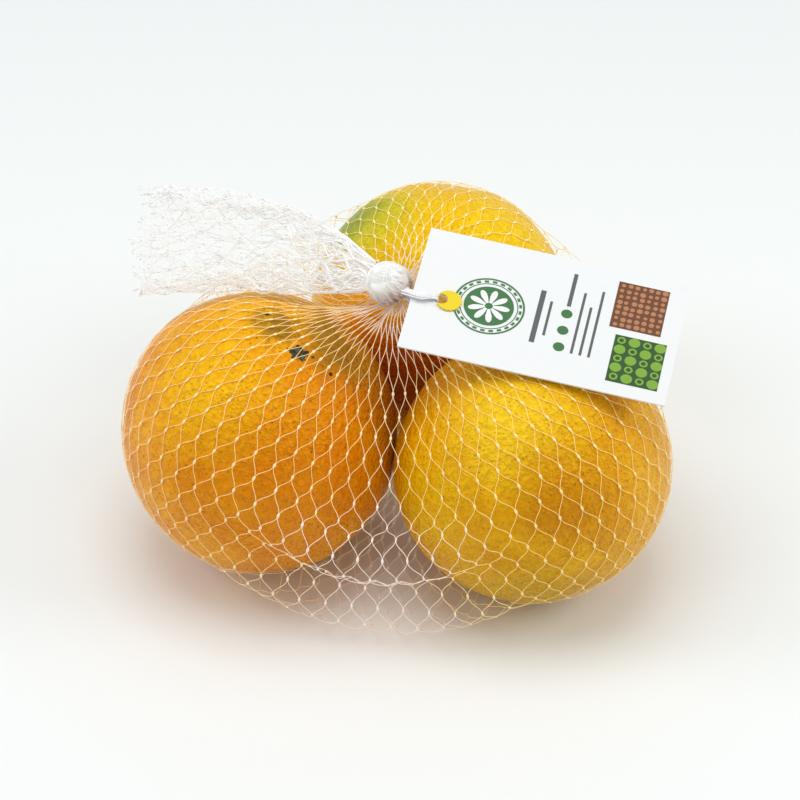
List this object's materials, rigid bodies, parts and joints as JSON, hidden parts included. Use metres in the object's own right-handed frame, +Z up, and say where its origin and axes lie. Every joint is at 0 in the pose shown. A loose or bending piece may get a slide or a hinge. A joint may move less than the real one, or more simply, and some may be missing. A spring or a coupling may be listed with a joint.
{
  "type": "net of oranges",
  "caption": "Round citrus fruits held in a knotted net of white diamond mesh, with a fanned tail of net and a paper card tied to the knot.",
  "frame": {"origin": "below the middle of the bounding box, on the surface that the net lies on", "axes": "+Z up, +X to the right along the two fruits at the front, +Y to the back"},
  "size_m": [0.1725, 0.1615, 0.1041],
  "materials": {
    "orange_peel": "waxy pitted citrus peel, half gloss",
    "net_strand": "white knitted plastic strand, slightly translucent",
    "tie_strand": "white translucent plastic strand",
    "card": "smooth printed card, matt",
    "yellow_ring": "yellow sticker paper"
  },
  "bodies": {
    "root": {"filled_net": "orange_peel", "net_knot": "net_strand", "net_tail": "net_strand", "card_tie": "tie_strand", "card": "card", "card_ring": "yellow_ring"}
  },
  "joints": []
}
